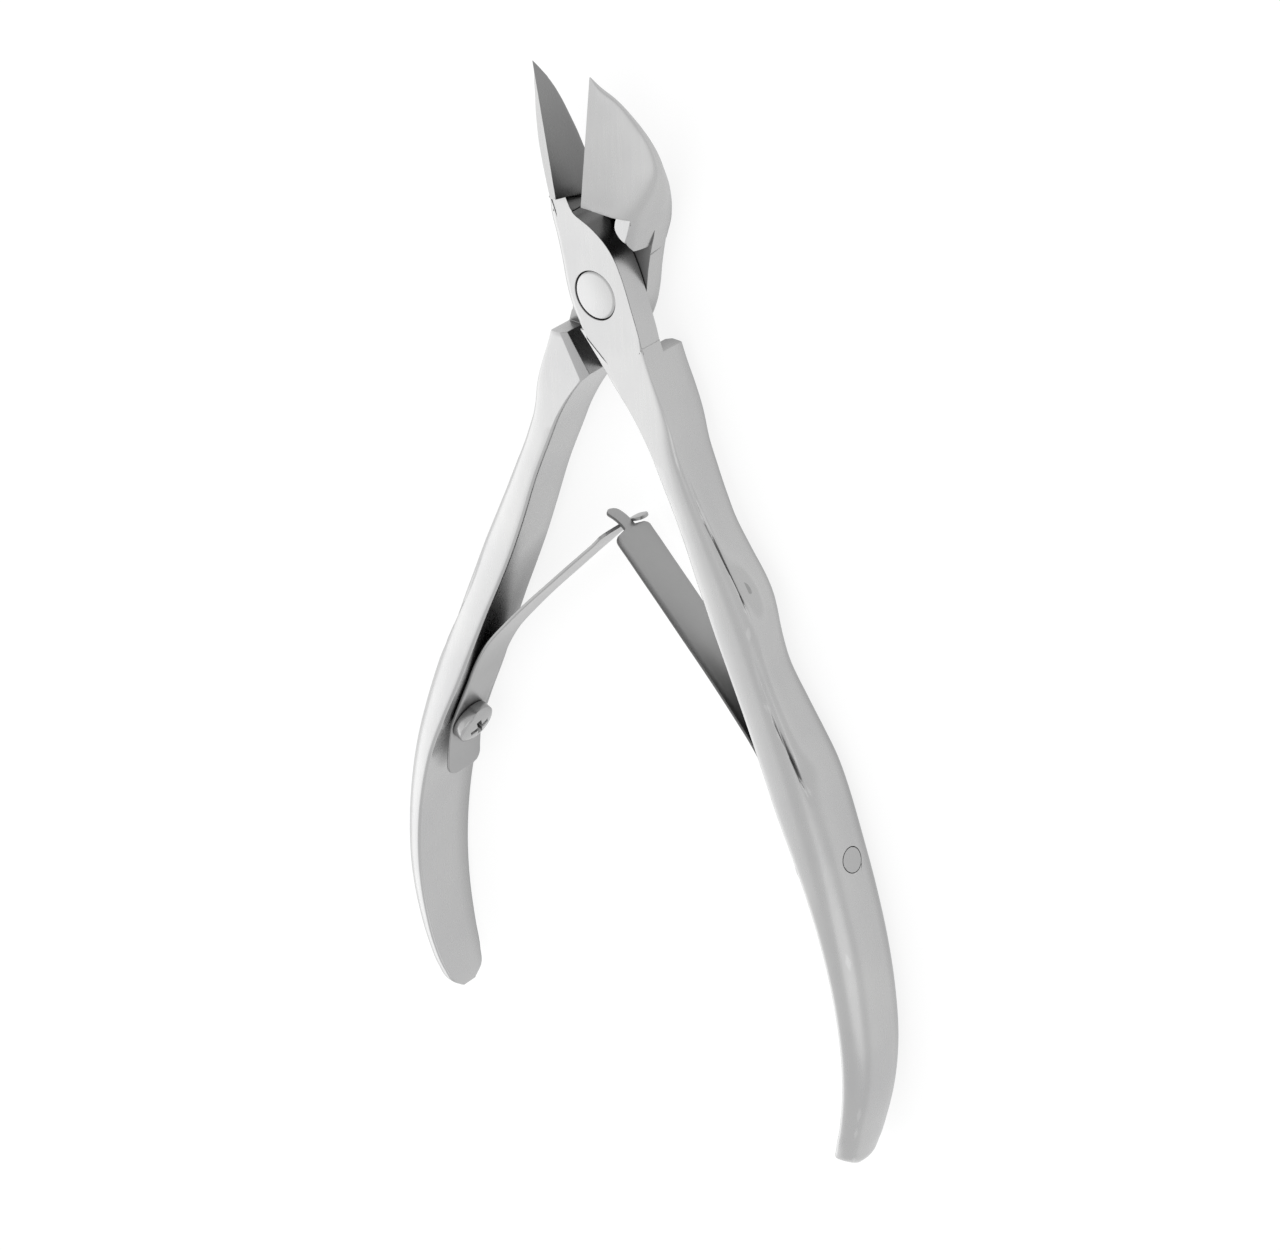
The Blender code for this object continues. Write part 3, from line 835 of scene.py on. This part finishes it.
def pale_floor():
    made = bpy.data.materials.new("floor_card")
    made.use_nodes = True
    tree = made.node_tree
    shader = tree.nodes["Principled BSDF"]
    shader.inputs["Roughness"].default_value = 0.9
    shader.inputs["Specular IOR Level"].default_value = 0.1
    shader.inputs["Base Color"].default_value = (0.20, 0.20, 0.20, 1)
    shader.inputs["Emission Color"].default_value = (1, 1, 1, 1)
    shader.inputs["Emission Strength"].default_value = 0.84
    return made


# ---------------------------------------------------------------- studio
def studio():
    size = 3.0
    mesh = bpy.data.meshes.new("floor")
    z = CAD_LOW.z
    corners = [(-size, -size, z), (size, -size, z), (size, size, z), (-size, size, z)]
    mesh.from_pydata(corners, [], [(0, 1, 2, 3)])
    floor = bpy.data.objects.new("floor", mesh)
    bpy.context.scene.collection.objects.link(floor)
    mesh.materials.append(pale_floor())

    world = bpy.data.worlds.new("studio")
    bpy.context.scene.world = world
    world.use_nodes = True
    tree = world.node_tree
    back = tree.nodes["Background"]
    way = node(tree, "ShaderNodeTexCoord")
    toward = node(tree, "ShaderNodeVectorMath", operation="DOT_PRODUCT")
    toward.inputs[1].default_value = Vector((-0.84, -0.50, 0.20)).normalized()
    tree.links.new(way.outputs["Generated"], toward.inputs[0])
    glow = ranged(tree, toward.outputs["Value"], (0.70, 1.0), (0.92, 1.9))
    tree.links.new(glow, back.inputs["Strength"])
    back.inputs["Color"].default_value = (1, 1, 1, 1)

    for name, spot, size, power in (
        ("key", (-0.30, -0.10, 0.55), 0.5, 0.22),
        ("fill", (0.45, -0.25, 0.40), 0.4, 0.2),
    ):
        light = bpy.data.lights.new(name, "AREA")
        light.shape = "SQUARE"
        light.size = size
        light.energy = power
        lamp = bpy.data.objects.new(name, light)
        lamp.location = spot
        lamp.rotation_euler = (Vector((0, -0.03, 0)) - Vector(spot)).to_track_quat("-Z", "Y").to_euler()
        bpy.context.scene.collection.objects.link(lamp)

    data = bpy.data.cameras.new("camera")
    data.lens = 124.08
    data.sensor_width = 36
    data.clip_start, data.clip_end = 0.01, 20
    camera = bpy.data.objects.new("camera", data)
    right = Vector((0.76114, -0.04246, -0.6472))
    up = Vector((-0.29231, 0.86831, -0.40074))
    back_way = Vector((0.57898, 0.4942, 0.64849))
    turn = Matrix((right, up, back_way)).transposed().to_4x4()
    camera.matrix_world = Matrix.Translation((0.26194, 0.18463, 0.29475)) @ turn
    bpy.context.scene.collection.objects.link(camera)
    bpy.context.scene.camera = camera
    bpy.context.scene.view_settings.view_transform = "Standard"


studio()
FRONT = steel("front_steel", 0.48, 0.28, inward=1)
REAR = steel("rear_steel", 0.48, 0.28, seed=0.4, inward=-1)
PIN = steel("pin_steel", 0.50, 0.26, seed=0.3)
RIGHT_LEAF = steel("right_spring_steel", 0.34, 0.30, seed=0.6, front_edge_shade=0.3, shadow=0.7)
LEFT_LEAF = steel("left_spring_steel", 0.38, 0.30, seed=0.7, front_edge_shade=0.8, shadow=0.7)
SCREW = steel("screw_steel", 0.42, 0.24, seed=0.9)
arm("front_arm", 1, True, FRONT).name = "front_arm_shaped"
arm("rear_arm", -1, False, REAR).name = "rear_arm_shaped"
pivot_pin(PIN)
leaf_spring("right_leaf_strip", 1, RIGHT_LEAF)
leaf_spring("left_leaf_strip", -1, LEFT_LEAF)
spring_screw("right_screw_turned", 1, SCREW)
spring_screw("left_screw_turned", -1, SCREW)

bpy.context.view_layer.update()
